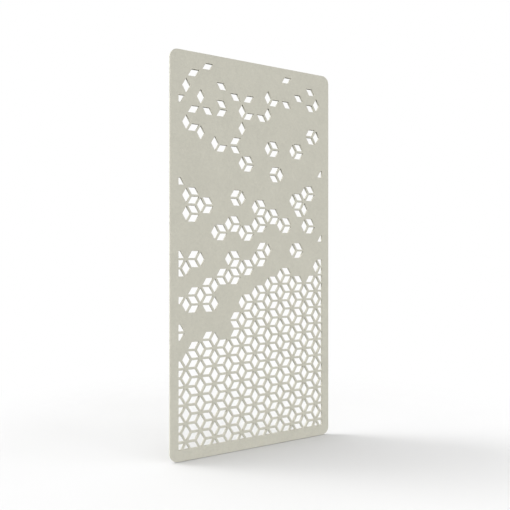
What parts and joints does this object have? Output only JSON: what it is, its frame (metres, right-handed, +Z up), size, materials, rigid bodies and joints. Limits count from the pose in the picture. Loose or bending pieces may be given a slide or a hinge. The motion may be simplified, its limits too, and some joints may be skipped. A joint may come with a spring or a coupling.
{
  "type": "hanging acoustic screen",
  "caption": "Flat felt screen with rounded corners and a cut-out lattice of rhombs, hung by threaded points hidden in its top edge to divide a room and absorb sound.",
  "frame": {"origin": "middle of the top edge, on the edge face, half way through the thickness", "axes": "+Z up out of the top edge, +X along the top edge to the right as seen from the front, -Y out of the front face"},
  "size_m": [1.128, 0.015, 2.4],
  "materials": {
    "felt": "matt pressed polyester felt, warm light grey, faintly mottled",
    "zinc_steel": "bright zinc-plated steel",
    "anodised_bush": "satin natural anodised aluminium"
  },
  "bodies": {
    "screen": {"felt_panel": "felt", "left_edge_bush": "anodised_bush", "right_edge_bush": "anodised_bush", "left_bore_plug": "felt", "right_bore_plug": "felt"},
    "left_nut": {"left_barrel_nut": "zinc_steel"},
    "right_nut": {"right_barrel_nut": "zinc_steel"}
  },
  "joints": [
    {"name": "left_nut_turn", "type": "hinge", "parent": "screen", "child": "left_nut", "pos_m": [-0.414, 0, -0.03], "axis": [0, 1, 0], "continuous": true},
    {"name": "right_nut_turn", "type": "hinge", "parent": "screen", "child": "right_nut", "pos_m": [0.414, 0, -0.03], "axis": [0, 1, 0], "continuous": true}
  ]
}
